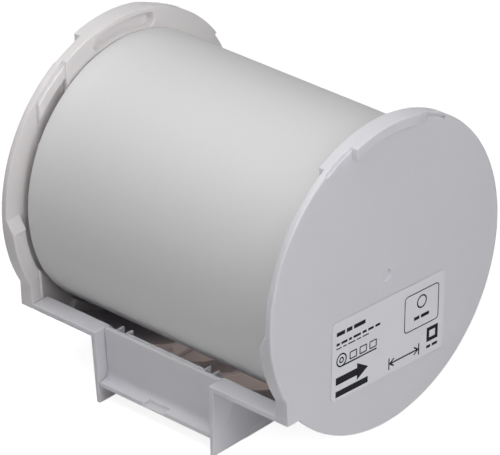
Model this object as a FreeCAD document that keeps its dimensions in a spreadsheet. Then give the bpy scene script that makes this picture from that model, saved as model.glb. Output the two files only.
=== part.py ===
import FreeCAD, Part
import Sketcher
import os

# Label tape cassette: a 100 mm wide roll of label tape between two moulded end plates.
# World frame: X along the roll's axis, -Y to the front (the side with the foot), +Z up,
# origin on the surface that the foot stands on, right under the roll's axis.
# Every piece is drawn in a turned frame whose z is the world's X, x the world's Y
# and y the world's Z, with its origin on the roll's axis. One placement brings them home.

doc = FreeCAD.newDocument("label_tape_cassette")
dim = doc.addObject("Spreadsheet::Sheet", "dim")

SIZES = [
    ("tape_width", 100.0, "width of the label tape, printed on the real label"),
    ("roll_dia", 86.5, "outside of the wound tape"),
    ("core_dia", 42.0, "outside of the card tube that the tape is wound on"),
    ("core_wall", 2.0, "wall of the card tube"),
    ("core_inset", 0.1, "how far the card tube ends inside the tape's edge"),
    ("plate_over", 6.45, "end plate's edge beyond the tape"),
    ("plate_lift", 4.1, "end plate's edge above the surface"),
    ("plate_wall", 2.2, "wall of the end plate"),
    ("end_gap", 2.3, "from the tape's edge to the end plate"),
    ("plate_edge", 0.35, "chamfer round the end plate's outer face"),
    ("gate_dia", 3.4, "small dimple in the middle of the outer face"),
    ("gate_depth", 0.3, "depth of the dimple"),
    ("spindle_dia", 18.0, "spindle that the reel turns on"),
    ("spindle_wall", 1.8, "wall of the hollow spindle"),
    ("spindle_reach", 13.0, "how far the spindle reaches inside the tape's edge"),
    ("rib_wall", 1.2, "ribs inside the end plate"),
    ("rib_gap", 0.2, "from the hub's flange to those ribs"),
    ("rib_clear", 1.5, "from the drag felt to where the radial ribs begin"),
    ("rim_width", 9.2, "thick rim across"),
    ("rim_gap", 0.4, "from the tape's edge to the thick rim"),
    ("rim_back_angle", 35.0, "where the thick rim starts, up from the rear"),
    ("rim_front", 23.4, "where the thick rim stops, forward of the axis"),
    ("mid_front", 34.6, "where the low step beside it stops"),
    ("mid_rise", 1.2, "height of the low step"),
    ("mid_inset", 1.5, "low step's distance from the plate's edge"),
    ("mid_width", 3.4, "low step across"),
    ("roll_clear", 1.0, "between the tape and what stands round it"),
    ("post_face", 0.3, "corner post's inner face, inside the tape's edge"),
    ("post_depth", 5.0, "corner post from front to back"),
    ("post_rise", 11.0, "corner post's block above the bar"),
    ("post_bead", 1.0, "bead along the post's rear edge"),
    ("post_hollow", 0.8, "depth of the hollow beside the bead"),
    ("post_lip", 1.2, "what stays flat outside the hollow"),
    ("hollow_lift", 0.5, "hollow's lower end above the bar"),
    ("hollow_rise", 7.7, "height of its straight part above the bar"),
    ("ramp_start", 0.6, "top of the ramp to the corner post, above the axis"),
    ("ramp_drop", 4.4, "height of the ramp"),
    ("tab_proud", 2.0, "arc tab on the end plate's outer face"),
    ("tab_width", 3.4, "arc tab across"),
    ("tab_front", 13.8, "arc tab's square end, forward of the axis"),
    ("tab_fall", 12.0, "where the arc tab starts to slope away, behind the axis"),
    ("tab_back", 18.5, "where the slope meets the plate"),
    ("pocket_floor", 1.2, "floor of the long pocket under the outer face"),
    ("pocket_inset", 4.1, "middle of the long pocket inside the plate's edge"),
    ("pocket_width", 4.8, "long pocket across"),
    ("pocket_start", 75.0, "long pocket's rear end, up from the rear"),
    ("pocket_end", 102.0, "long pocket's front end, up from the rear"),
    ("slit_inset", 1.2, "short slit behind the arc tab, inside the plate's edge"),
    ("slit_width", 0.8, "short slit across"),
    ("slit_depth", 0.9, "short slit's depth"),
    ("slit_start", 57.5, "short slit's rear end, up from the rear"),
    ("slit_turn", 11.0, "short slit's length as an angle"),
    ("rebate_width", 1.0, "rebate round the outer face in front of the arc tab, across"),
    ("rebate_depth", 0.6, "that rebate's depth"),
    ("rebate_front", 24.4, "where that rebate stops, forward of the axis"),
    ("bar_height", 24.3, "top of the bar above the surface"),
    ("bar_clear", 0.27, "from the cradle's bore to the bar's back edge"),
    ("bar_wall", 1.8, "thickness of the bar"),
    ("bar_depth", 6.0, "bar from front to back"),
    ("seat_gap", 0.1, "between pieces that are put together"),
    ("tongue_place", 2.4, "middle of the tongue at the bar's end, behind the bar's front"),
    ("tongue_width", 3.0, "that tongue across"),
    ("tongue_thick", 1.1, "tongue's thickness"),
    ("tongue_reach", 2.4, "tongue's length in the post"),
    ("cradle_clear", 4.35, "between the tape and the curved cradle under it"),
    ("cradle_wall", 1.5, "wall of the cradle"),
    ("cradle_lap", 0.1, "cradle's front edge under the bar's top, as an angle"),
    ("cradle_end", 304.4, "cradle's rear edge, as an angle from the rear"),
    ("ledge_start", 236.0, "curved ledge that carries the cradle's end"),
    ("ledge_turn", 64.0, "that ledge's length as an angle"),
    ("ledge_gap", 0.2, "from the tape's edge to the ledge"),
    ("window_start", 240.0, "windows in the cradle, as an angle from the rear"),
    ("window_turn", 21.0, "windows' length as an angle"),
    ("window_inner", 5.0, "windows' side beside the middle"),
    ("window_inset", 2.9, "windows' outer side inside the foot's side wall"),
    ("foot_half_top", 25.2, "half the foot's width at the bar"),
    ("foot_lean", 1.2, "how far each side wall leans in at its base"),
    ("foot_wall", 1.9, "side walls of the foot at the bar"),
    ("foot_wall_base", 1.3, "side walls of the foot at their base"),
    ("foot_back", 22.0, "rear end of the foot behind the axis"),
    ("foot_rear_lift", 1.0, "foot's rear wall above the surface"),
    ("foot_rear_wall", 1.6, "foot's rear wall"),
    ("inner_rib_inset", 5.2, "ribs behind the grip plate, inside the foot's width"),
    ("inner_rib_wall", 1.2, "those ribs"),
    ("inner_rib_back", 14.0, "rear end of those ribs, forward of the axis"),
    ("inner_rib_lift", 3.8, "lower edge of those ribs above the surface"),
    ("inner_rib_drop", 0.4, "their top below the bar's top"),
    ("grip_recess", 4.0, "grip plate's face behind the bar's front"),
    ("grip_wall", 1.6, "grip plate"),
    ("grip_lift", 5.9, "grip plate's lower edge above the surface"),
    ("grip_lip", 1.6, "grip plate's lip"),
    ("grip_lip_inset", 0.2, "lip's front behind the bar's front"),
    ("grip_fillet", 2.2, "hollow between the grip plate and its lip"),
    ("notch_width", 8.5, "notch in the lip"),
    ("notch_depth", 2.4, "notch from front to back"),
    ("notch_floor", 0.7, "what is left under the notch"),
    ("hook_inset", 3.3, "hooks behind the grip plate, inside the foot's side wall"),
    ("hook_width", 4.4, "each hook across"),
    ("hook_reach", 3.0, "each hook from front to back"),
    ("hook_thick", 1.4, "each hook's thickness"),
    ("hook_drop", 2.4, "each hook's top below the grip plate's top"),
    ("hook_rib", 0.7, "ribs along each hook's sides"),
    ("run_clear", 0.05, "running clearance of the hubs on the spindles"),
    ("hub_over", 4.0, "flange of the core hub beyond the card tube"),
    ("hub_flange_wall", 0.9, "that flange"),
    ("hub_seat", 0.1, "hub's flange from the tape's edge"),
    ("hub_boss_wall", 1.7, "hub's bearing wall"),
    ("hub_plug_wall", 1.6, "hub's ring inside the card tube"),
    ("hub_reach", 12.0, "hub's length inside the card tube"),
    ("hub_web_wall", 1.4, "hub's webs"),
    ("hub_web_inset", 2.0, "webs' inner end, inside the hub's tip"),
    ("felt_clear", 2.0, "from the spindle to the drag felt"),
    ("felt_width", 8.0, "drag felt across"),
    ("felt_gap", 0.3, "from the hub's flange to the drag felt"),
    ("label_length", 49.3, "printed label"),
    ("label_height", 25.9, "printed label"),
    ("label_thick", 0.12, "printed label"),
    ("label_corner", 1.6, "label's corner radius"),
    ("label_drop", 20.5, "label's middle below the axis"),
    ("label_tilt", 3.5, "label's tilt, front end higher"),
]

dim.set("A1", "size")
dim.set("B1", "value")
dim.set("C1", "what it is")
for row, (alias, value, note) in enumerate(SIZES, start=2):
    dim.set("A%d" % row, alias)
    dim.set("B%d" % row, str(value))
    dim.set("C%d" % row, note)
    dim.setAlias("B%d" % row, alias)
doc.recompute()

# Places along the axis and round it that several pieces share.
WEB_FACE = "(dim.tape_width / 2 + dim.end_gap)"
OUTER_FACE = "(dim.tape_width / 2 + dim.end_gap + dim.plate_wall)"
WEB_MIDDLE = "(dim.tape_width / 2 + dim.end_gap + dim.plate_wall / 2)"
POST_FACE = "(dim.tape_width / 2 - dim.post_face)"
HUB_FACE = "(dim.tape_width / 2 + dim.hub_seat + dim.hub_flange_wall)"
PLATE_R = "(dim.roll_dia / 2 + dim.plate_over)"
RIM_R = "(%s - dim.rim_width)" % PLATE_R
CLEAR_R = "(dim.roll_dia / 2 + dim.roll_clear)"
CRADLE_R = "(dim.roll_dia / 2 + dim.cradle_clear)"
FELT_R = "(dim.spindle_dia / 2 + dim.felt_clear + dim.felt_width)"
AXIS = "(%s + dim.plate_lift)" % PLATE_R
BAR_DROP = "(%s - dim.bar_height)" % AXIS
BAR_BACK = "sqrt((%s + dim.bar_clear)^2 - %s^2)" % (CRADLE_R, BAR_DROP)
BAR_FRONT = "(%s + dim.bar_depth)" % BAR_BACK
BAR_LOW = "(%s + dim.bar_wall)" % BAR_DROP
POST_BACK = "(%s - dim.post_depth)" % BAR_FRONT
GRIP_FACE = "(%s - dim.grip_recess)" % BAR_FRONT
GRIP_BACK = "(%s - dim.grip_wall)" % GRIP_FACE
GRIP_BASE = "(%s - dim.grip_lift)" % AXIS
FOOT_BASE = "(dim.foot_half_top - dim.foot_lean)"
FOOT_ROOM = "(dim.foot_half_top - dim.foot_wall)"
HOOK_OUT = "(%s - dim.hook_inset)" % FOOT_ROOM
HOOK_IN = "(%s - dim.hook_width)" % HOOK_OUT
HOOK_LOW = "(%s + dim.hook_drop + dim.hook_thick)" % BAR_DROP

HOME_TURN = FreeCAD.Rotation(FreeCAD.Vector(1, 1, 1), 120)
FAR = "200"
# How far a cutting shape runs past the face that it cuts, and a joined one into what carries it.
PAST = "1"
INTO = "0.3"


def go_home(piece, label):
    """Give a finished piece its name and its place on the roll's axis."""
    piece.Label = label
    piece.Placement = FreeCAD.Placement(FreeCAD.Vector(0, 0, 0), HOME_TURN)
    piece.setExpression("Placement.Base.z", AXIS)
    return piece


def bind(thing, **sizes):
    """Bind properties of an object to expressions on the sheet."""
    for name, expression in sizes.items():
        thing.setExpression(name, expression)
    return thing


def block(name, x, y, z):
    """A box between two expressions along each axis."""
    box = doc.addObject("Part::Box", name)
    bind(box, Length="(%s) - (%s)" % (x[1], x[0]))
    bind(box, Width="(%s) - (%s)" % (y[1], y[0]))
    bind(box, Height="(%s) - (%s)" % (z[1], z[0]))
    box.setExpression("Placement.Base.x", x[0])
    box.setExpression("Placement.Base.y", y[0])
    box.setExpression("Placement.Base.z", z[0])
    return box


def disc(name, radius, z, start="0", turn="360"):
    """A round or a sector round the axis, from z[0] to z[1]."""
    cylinder = doc.addObject("Part::Cylinder", name)
    bind(cylinder, Radius=radius, Height="(%s) - (%s)" % (z[1], z[0]), Angle=turn)
    # This first turn only sets the axis: the expression on the angle overrules it.
    first_turn = FreeCAD.Rotation(FreeCAD.Vector(0, 0, 1), 1)
    cylinder.Placement = FreeCAD.Placement(FreeCAD.Vector(0, 0, 0), first_turn)
    cylinder.setExpression("Placement.Base.z", z[0])
    cylinder.setExpression("Placement.Rotation.Angle", start)
    return cylinder


def pin(name, radius, x, y, z):
    """A round whose axis stands at x, y."""
    cylinder = doc.addObject("Part::Cylinder", name)
    bind(cylinder, Radius=radius, Height="(%s) - (%s)" % (z[1], z[0]))
    cylinder.setExpression("Placement.Base.x", x)
    cylinder.setExpression("Placement.Base.y", y)
    cylinder.setExpression("Placement.Base.z", z[0])
    return cylinder


def cut(name, base, tool):
    piece = doc.addObject("Part::Cut", name)
    piece.Base = base
    piece.Tool = tool
    return piece


def fuse(name, *parts):
    piece = doc.addObject("Part::MultiFuse", name)
    piece.Shapes = list(parts)
    return piece


def common(name, first, second):
    piece = doc.addObject("Part::Common", name)
    piece.Base = first
    piece.Tool = second
    return piece


def arc_band(name, inner, outer, z, start="0", turn="360"):
    """A band round the axis between two radii."""
    whole = disc(name + "_outside", outer, z, start, turn)
    hole = disc(name + "_inside", inner, ("(%s) - %s" % (z[0], PAST), "(%s) + %s" % (z[1], PAST)))
    return cut(name, whole, hole)


def outline(owner, plane, name, points):
    """A closed sketch of straight lines whose corners are bound to expressions."""
    sketch = owner.newObject("Sketcher::SketchObject", name)
    support = [feature for feature in owner.Origin.OriginFeatures if feature.Role == plane][0]
    sketch.AttachmentSupport = [(support, "")]
    sketch.MapMode = "FlatFace"
    corners = [FreeCAD.Vector(sketch.evalExpression(u), sketch.evalExpression(v), 0) for u, v in points]
    count = len(corners)
    for index in range(count):
        sketch.addGeometry(Part.LineSegment(corners[index], corners[(index + 1) % count]))
    for index in range(count):
        sketch.addConstraint(Sketcher.Constraint("Coincident", index, 2, (index + 1) % count, 1))
    for index, (u, v) in enumerate(points):
        across = Sketcher.Constraint("DistanceX", -1, 1, index, 1, corners[index].x)
        sketch.setExpression("Constraints[%d]" % sketch.addConstraint(across), u)
        along = Sketcher.Constraint("DistanceY", -1, 1, index, 1, corners[index].y)
        sketch.setExpression("Constraints[%d]" % sketch.addConstraint(along), v)
    return sketch


def turned(name, points):
    """A body turned round the axis from a profile of (radius, place along the axis)."""
    body = doc.addObject("PartDesign::Body", name)
    sketch = outline(body, "XZ_Plane", name + "_profile", points)
    turn = body.newObject("PartDesign::Revolution", name + "_turn")
    turn.Profile = sketch
    axis = [feature for feature in body.Origin.OriginFeatures if feature.Role == "Z_Axis"][0]
    turn.ReferenceAxis = (axis, [""])
    turn.Angle = 360
    return body


def prism(name, plane, points, length, offset=None):
    """A body pushed out from an outline, with its middle on the plane unless offset says where."""
    body = doc.addObject("PartDesign::Body", name)
    sketch = outline(body, plane, name + "_outline", points)
    pad = body.newObject("PartDesign::Pad", name + "_pad")
    pad.Profile = sketch
    pad.Midplane = offset is None
    bind(pad, Length=length)
    if offset is not None:
        sketch.setExpression("AttachmentOffset.Base.z", offset)
    return body


# Wound tape: all its turns are one solid.
tape_roll = go_home(turned("TapeRoll", [
    ("dim.core_dia / 2", "-dim.tape_width / 2"),
    ("dim.roll_dia / 2", "-dim.tape_width / 2"),
    ("dim.roll_dia / 2", "dim.tape_width / 2"),
    ("dim.core_dia / 2", "dim.tape_width / 2"),
]), "tape_roll")

# Card tube that the tape is wound on.
core_tube = go_home(turned("CoreTube", [
    ("dim.core_dia / 2 - dim.core_wall", "dim.core_inset - dim.tape_width / 2"),
    ("dim.core_dia / 2", "dim.core_inset - dim.tape_width / 2"),
    ("dim.core_dia / 2", "dim.tape_width / 2 - dim.core_inset"),
    ("dim.core_dia / 2 - dim.core_wall", "dim.tape_width / 2 - dim.core_inset"),
]), "core_tube")


def core_hub():
    """Right hub: a flanged plug in the card tube whose bearing runs on the spindle."""
    bore = "(dim.spindle_dia / 2 + dim.run_clear)"
    boss = "(dim.spindle_dia / 2 + dim.run_clear + dim.hub_boss_wall)"
    plug = "(dim.core_dia / 2 - dim.core_wall - dim.run_clear)"
    plug_inside = "(dim.core_dia / 2 - dim.core_wall - dim.run_clear - dim.hub_plug_wall)"
    tip = "(dim.tape_width / 2 - dim.hub_reach)"
    flange = "(dim.tape_width / 2 + dim.hub_seat)"
    rim = "(dim.core_dia / 2 + dim.hub_over)"
    body = turned("CoreHub", [
        (bore, tip),
        (boss, tip),
        (boss, flange),
        (plug_inside, flange),
        (plug_inside, tip),
        (plug, tip),
        (plug, flange),
        (rim, flange),
        (rim, HUB_FACE),
        (bore, HUB_FACE),
    ])
    web = outline(body, "XY_Plane", "CoreHub_web_outline", [
        (boss + " - " + INTO, "-dim.hub_web_wall / 2"),
        (plug_inside + " + " + INTO, "-dim.hub_web_wall / 2"),
        (plug_inside + " + " + INTO, "dim.hub_web_wall / 2"),
        (boss + " - " + INTO, "dim.hub_web_wall / 2"),
    ])
    web_start = "(%s + dim.hub_web_inset)" % tip
    web.setExpression("AttachmentOffset.Base.z", web_start)
    pad = body.newObject("PartDesign::Pad", "CoreHub_web")
    pad.Profile = web
    bind(pad, Length=flange + " - " + web_start)
    spread = body.newObject("PartDesign::PolarPattern", "CoreHub_webs")
    spread.Originals = [pad]
    spread.Axis = (web, ["N_Axis"])
    spread.Angle = 360
    spread.Occurrences = 6
    body.Tip = spread
    return body


def mirrored(name, source, label):
    """The left piece: the right one's mirror image across the middle of the tape."""
    mirror = doc.addObject("Part::Mirroring", name)
    mirror.Source = source
    mirror.Normal = FreeCAD.Vector(1, 0, 0)
    mirror.Base = FreeCAD.Vector(0, 0, 0)
    mirror.Label = label
    return mirror


right_core_hub = go_home(core_hub(), "right_core_hub")
left_core_hub = mirrored("LeftCoreHub", right_core_hub, "left_core_hub")

# Drag felts: rings stuck to the end plates that keep the reel from running on.
right_drag_felt = go_home(turned("DragFelt", [
    (FELT_R + " - dim.felt_width", HUB_FACE + " + dim.felt_gap"),
    (FELT_R, HUB_FACE + " + dim.felt_gap"),
    (FELT_R, WEB_FACE),
    (FELT_R + " - dim.felt_width", WEB_FACE),
]), "right_drag_felt")
left_drag_felt = mirrored("LeftDragFelt", right_drag_felt, "left_drag_felt")


def plate_disc():
    """Web, edge, spindle and middle dimple, turned in one profile, and the radial ribs inside."""
    spindle = "dim.spindle_dia / 2"
    spindle_bore = "(dim.spindle_dia / 2 - dim.spindle_wall)"
    spindle_tip = "(dim.tape_width / 2 - dim.spindle_reach)"
    rib_face = "(%s + dim.rib_gap)" % HUB_FACE
    body = turned("PlateDisc", [
        ("0", WEB_FACE),
        (spindle_bore, WEB_FACE),
        (spindle_bore, spindle_tip),
        (spindle, spindle_tip),
        (spindle, WEB_FACE),
        (PLATE_R, WEB_FACE),
        (PLATE_R, OUTER_FACE + " - dim.plate_edge"),
        (PLATE_R + " - dim.plate_edge", OUTER_FACE),
        ("dim.gate_dia / 2", OUTER_FACE),
        ("dim.gate_dia / 2", OUTER_FACE + " - dim.gate_depth"),
        ("0", OUTER_FACE + " - dim.gate_depth"),
    ])
    rib = outline(body, "XY_Plane", "PlateRib_outline", [
        (FELT_R + " + dim.rib_clear", "-dim.rib_wall / 2"),
        (RIM_R + " + " + INTO, "-dim.rib_wall / 2"),
        (RIM_R + " + " + INTO, "dim.rib_wall / 2"),
        (FELT_R + " + dim.rib_clear", "dim.rib_wall / 2"),
    ])
    rib.setExpression("AttachmentOffset.Base.z", rib_face)
    pad = body.newObject("PartDesign::Pad", "PlateRib")
    pad.Profile = rib
    bind(pad, Length=WEB_MIDDLE + " - " + rib_face)
    spread = body.newObject("PartDesign::PolarPattern", "PlateRibs")
    spread.Originals = [pad]
    spread.Axis = (rib, ["N_Axis"])
    spread.Angle = 360
    spread.Occurrences = 12
    body.Tip = spread
    return body


def upper_rim():
    """Thick rim round the top, square at the front, and the low step beside it."""
    deep = ("dim.tape_width / 2 + dim.rim_gap", WEB_MIDDLE)
    band = arc_band("UpperRim", RIM_R, PLATE_R, deep, "dim.rim_back_angle", "180 - dim.rim_back_angle")
    front = block("UpperRim_front", ("-" + FAR, "-dim.rim_front"), ("-" + FAR, FAR), ("0", FAR))
    thick = cut("UpperRim_thick", band, front)
    step_out = "(%s - dim.mid_inset)" % PLATE_R
    step_in = "(%s - dim.mid_inset - dim.mid_width)" % PLATE_R
    step_band = arc_band("MidStep", step_in, step_out, (WEB_FACE + " - dim.mid_rise", WEB_MIDDLE), "90", "90")
    window = block("MidStep_window", ("-dim.mid_front", PAST + " - dim.rim_front"), ("0", FAR), ("0", FAR))
    return [thick, common("MidStep_low", step_band, window)]


def corner_post():
    """Thick front rim that ramps up and runs down into the square corner post."""
    corner = block(
        "Post_corner",
        ("-" + BAR_FRONT, "-" + POST_BACK),
        ("-" + BAR_LOW, "dim.post_rise - " + BAR_DROP),
        (POST_FACE, OUTER_FACE),
    )
    rim = disc("Post_rim", PLATE_R, (POST_FACE, WEB_MIDDLE))
    rim_window = block(
        "Post_rim_window",
        ("-" + FAR, "-" + POST_BACK),
        ("-" + BAR_LOW, "dim.ramp_start"),
        ("0", FAR),
    )
    whole = fuse("Post_whole", corner, common("Post_rim_part", rim, rim_window))
    ramp = prism("Post_ramp", "YZ_Plane", [
        ("dim.ramp_start + " + PAST, WEB_FACE + " + " + INTO),
        ("dim.ramp_start - dim.ramp_drop", POST_FACE),
        ("dim.ramp_start - dim.ramp_drop", POST_FACE + " - " + PAST),
        ("dim.ramp_start + " + PAST, POST_FACE + " - " + PAST),
    ], "2 * " + FAR)
    inside = disc("Post_roll_room", CLEAR_R, ("0", WEB_FACE))
    trimmed = cut("Post_trimmed", cut("Post_ramped", whole, ramp), inside)
    socket = block(
        "Post_socket",
        ("-%s + dim.tongue_place - dim.tongue_width / 2 - dim.seat_gap" % BAR_FRONT,
         "-%s + dim.tongue_place + dim.tongue_width / 2 + dim.seat_gap" % BAR_FRONT),
        ("-%s - dim.bar_wall / 2 - dim.tongue_thick / 2 - dim.seat_gap" % BAR_DROP,
         "-%s - dim.bar_wall / 2 + dim.tongue_thick / 2 + dim.seat_gap" % BAR_DROP),
        (POST_FACE + " - " + PAST, POST_FACE + " + dim.tongue_reach + dim.seat_gap"),
    )
    return cut("CornerPost", trimmed, fuse("Post_cuts", socket, post_hollow()))


def post_hollow():
    """Hollow in the post's inner face: deepest beside the bead at the rear edge."""
    bead_front = "(%s + dim.post_bead)" % POST_BACK
    wedge = prism("Hollow_wedge", "XZ_Plane", [
        ("dim.post_lip / 2 - " + BAR_FRONT, POST_FACE),
        ("dim.post_lip / 2 - " + BAR_FRONT, POST_FACE + " - " + PAST),
        ("-" + bead_front, POST_FACE + " - " + PAST),
        ("-" + bead_front, POST_FACE + " + dim.post_hollow"),
    ], "2 * " + FAR)
    wedge_window = block(
        "Hollow_wedge_window",
        ("-" + FAR, "0"),
        ("dim.hollow_lift - " + BAR_DROP, "dim.hollow_rise - " + BAR_DROP),
        ("0", FAR),
    )
    dish = turned("Hollow_dish", [
        (CLEAR_R + " - " + PAST, POST_FACE + " - " + PAST),
        (PLATE_R + " - dim.post_lip", POST_FACE + " - " + PAST),
        (PLATE_R + " - dim.post_lip", POST_FACE),
        (CLEAR_R + " - " + PAST, POST_FACE + " + dim.post_hollow"),
    ])
    dish_window = block(
        "Hollow_dish_window",
        ("-" + FAR, "-" + bead_front),
        ("dim.hollow_lift - " + BAR_DROP, "dim.ramp_start - dim.ramp_drop"),
        ("0", FAR),
    )
    return fuse(
        "PostHollow",
        common("Hollow_low", wedge, wedge_window),
        common("Hollow_high", dish, dish_window),
    )


def arc_tab():
    """Arc tab that stands out of the outer face, square in front and sloping away behind."""
    z = (WEB_MIDDLE, OUTER_FACE + " + dim.tab_proud")
    inner = "(%s - dim.tab_width)" % PLATE_R
    start = "(acos(dim.tab_back / %s) / 1deg)" % inner
    band = arc_band("ArcTab_band", inner, PLATE_R, z, start, "180 - " + start)
    front = block("ArcTab_front", ("-" + FAR, "-dim.tab_front"), ("0", FAR), ("0", FAR))
    slope = prism("ArcTab_slope", "XZ_Plane", [
        ("dim.tab_fall", OUTER_FACE + " + dim.tab_proud"),
        ("dim.tab_back", OUTER_FACE),
        (FAR, OUTER_FACE),
        (FAR, OUTER_FACE + " + dim.tab_proud + " + PAST),
        ("dim.tab_fall", OUTER_FACE + " + dim.tab_proud + " + PAST),
    ], "2 * " + FAR)
    return cut("ArcTab", cut("ArcTab_square", band, front), slope)


def tab_pocket():
    """Long pocket with round ends that hollows the arc tab from inside."""
    z = ("0", OUTER_FACE + " - dim.pocket_floor")
    half = "dim.pocket_width / 2"
    middle = "(%s - dim.pocket_inset)" % PLATE_R
    band = arc_band(
        "Pocket_band",
        "(%s - %s)" % (middle, half),
        "(%s + %s)" % (middle, half),
        z,
        "dim.pocket_start",
        "dim.pocket_end - dim.pocket_start",
    )
    ends = []
    for end in ("pocket_start", "pocket_end"):
        x = "%s * cos(dim.%s * 1deg)" % (middle, end)
        y = "%s * sin(dim.%s * 1deg)" % (middle, end)
        ends.append(pin("Pocket_" + end, half, x, y, z))
    return fuse("TabPocket", band, *ends)


def end_plate():
    ledge = arc_band(
        "Ledge",
        CLEAR_R,
        CRADLE_R + " - dim.seat_gap",
        ("dim.tape_width / 2 + dim.ledge_gap", WEB_MIDDLE),
        "dim.ledge_start",
        "dim.ledge_turn",
    )
    slit = arc_band(
        "Slit",
        "(%s - dim.slit_inset - dim.slit_width / 2)" % PLATE_R,
        "(%s - dim.slit_inset + dim.slit_width / 2)" % PLATE_R,
        (OUTER_FACE + " - dim.slit_depth", OUTER_FACE + " + " + PAST),
        "dim.slit_start",
        "dim.slit_turn",
    )
    rebate_band = arc_band(
        "Rebate_band",
        "(%s - dim.rebate_width)" % PLATE_R,
        "(%s + %s)" % (PLATE_R, PAST),
        (OUTER_FACE + " - dim.rebate_depth", OUTER_FACE + " + " + PAST),
        "90",
        "90",
    )
    rebate_window = block("Rebate_window", ("-dim.rebate_front", "-dim.tab_front"), ("0", FAR), ("0", FAR))
    rebate = common("Rebate", rebate_band, rebate_window)
    solid = fuse("PlateSolid", plate_disc(), *upper_rim(), corner_post(), arc_tab(), ledge)
    return cut("EndPlate", solid, fuse("PlateCuts", tab_pocket(), slit, rebate))


right_end_plate = go_home(end_plate(), "right_end_plate")
left_end_plate = mirrored("LeftEndPlate", right_end_plate, "left_end_plate")


def foot_side(name, sign):
    """One side wall of the foot, leaning in a little towards its base."""
    return prism(name, "YZ_Plane", [
        ("-" + BAR_DROP, sign + "dim.foot_half_top"),
        ("-" + AXIS, sign + FOOT_BASE),
        ("-" + AXIS, sign + "(%s - dim.foot_wall_base)" % FOOT_BASE),
        ("-" + BAR_DROP, sign + FOOT_ROOM),
    ], BAR_FRONT + " + dim.foot_back", "-" + BAR_FRONT)


def lower_frame():
    """Front bar, curved cradle under the roll and the foot: one moulding."""
    half = WEB_FACE + " - dim.seat_gap"
    cradle_start = "(180 + asin(%s / %s) / 1deg + dim.cradle_lap)" % (BAR_DROP, CRADLE_R)
    cradle = arc_band(
        "Cradle",
        CRADLE_R,
        "(%s + dim.cradle_wall)" % CRADLE_R,
        ("-(%s)" % half, half),
        cradle_start,
        "dim.cradle_end - " + cradle_start,
    )
    bar_half = "(%s - dim.seat_gap)" % POST_FACE
    post_rooms = []
    for side, ends in (("left", ("-" + FAR, "-" + bar_half)), ("right", (bar_half, FAR))):
        post_rooms.append(block(
            "Post_room_" + side,
            ("-" + FAR, "dim.seat_gap - " + POST_BACK),
            ("-" + FAR, "0"),
            ends,
        ))
    cradle = cut("Cradle_trimmed", cradle, fuse("Post_rooms", *post_rooms))
    bar = block(
        "Bar",
        ("-" + BAR_FRONT, PAST + " - " + BAR_BACK),
        ("-" + BAR_LOW, "-" + BAR_DROP),
        ("-" + bar_half, bar_half),
    )
    tongue_half = "(%s + dim.tongue_reach)" % POST_FACE
    tongue = block(
        "Tongue",
        ("-%s + dim.tongue_place - dim.tongue_width / 2" % BAR_FRONT,
         "-%s + dim.tongue_place + dim.tongue_width / 2" % BAR_FRONT),
        ("-%s - dim.bar_wall / 2 - dim.tongue_thick / 2" % BAR_DROP,
         "-%s - dim.bar_wall / 2 + dim.tongue_thick / 2" % BAR_DROP),
        ("-" + tongue_half, tongue_half),
    )
    inside_half = "(%s - dim.foot_wall_base / 2)" % FOOT_BASE
    rear = block(
        "Foot_rear",
        ("dim.foot_back - dim.foot_rear_wall", "dim.foot_back"),
        ("dim.foot_rear_lift - " + AXIS, "-" + BAR_DROP),
        ("-" + inside_half, inside_half),
    )
    rib_place = "(dim.foot_half_top - dim.inner_rib_inset)"
    ribs = []
    for side, low, high in (
        ("left", "-%s - dim.inner_rib_wall / 2", "-%s + dim.inner_rib_wall / 2"),
        ("right", "%s - dim.inner_rib_wall / 2", "%s + dim.inner_rib_wall / 2"),
    ):
        ribs.append(block(
            "Inner_rib_" + side,
            ("dim.seat_gap - " + GRIP_BACK, "-dim.inner_rib_back"),
            ("dim.inner_rib_lift - " + AXIS, "-dim.inner_rib_drop - " + BAR_DROP),
            (low % rib_place, high % rib_place),
        ))
    walls = [foot_side("Foot_left", "-1 * "), foot_side("Foot_right", "")]
    whole = fuse("Frame_whole", cradle, bar, tongue, rear, *walls, *ribs)
    room = disc("Frame_room", CRADLE_R, ("-" + FAR, FAR))
    recess = block(
        "Frame_recess",
        ("-%s - %s" % (PAST, BAR_FRONT), "dim.seat_gap - " + GRIP_BACK),
        ("-%s - %s" % (PAST, BAR_LOW), "%s - %s" % (PAST, BAR_DROP)),
        ("-" + FOOT_ROOM, FOOT_ROOM),
    )
    hook_room_in = "(%s - dim.seat_gap)" % HOOK_IN
    windows = []
    for side, low, high in (
        ("left", "-" + FOOT_ROOM, "-" + hook_room_in),
        ("right", hook_room_in, FOOT_ROOM),
    ):
        windows.append(block(
            "Hook_room_" + side,
            ("-" + GRIP_FACE, "dim.hook_reach + dim.seat_gap - " + GRIP_BACK),
            ("-%s - dim.seat_gap" % HOOK_LOW, "%s - %s" % (PAST, BAR_DROP)),
            (low, high),
        ))
    for side, low, high in (
        ("left", "dim.window_inset - " + FOOT_ROOM, "-dim.window_inner"),
        ("right", "dim.window_inner", FOOT_ROOM + " - dim.window_inset"),
    ):
        windows.append(arc_band(
            "Window_" + side,
            "(%s - %s)" % (CRADLE_R, PAST),
            "(%s + dim.cradle_wall + %s)" % (CRADLE_R, PAST),
            (low, high),
            "dim.window_start",
            "dim.window_turn",
        ))
    return cut("LowerFrame", whole, fuse("Frame_cuts", room, recess, *windows))


lower_frame_piece = go_home(lower_frame(), "lower_frame")


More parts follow.
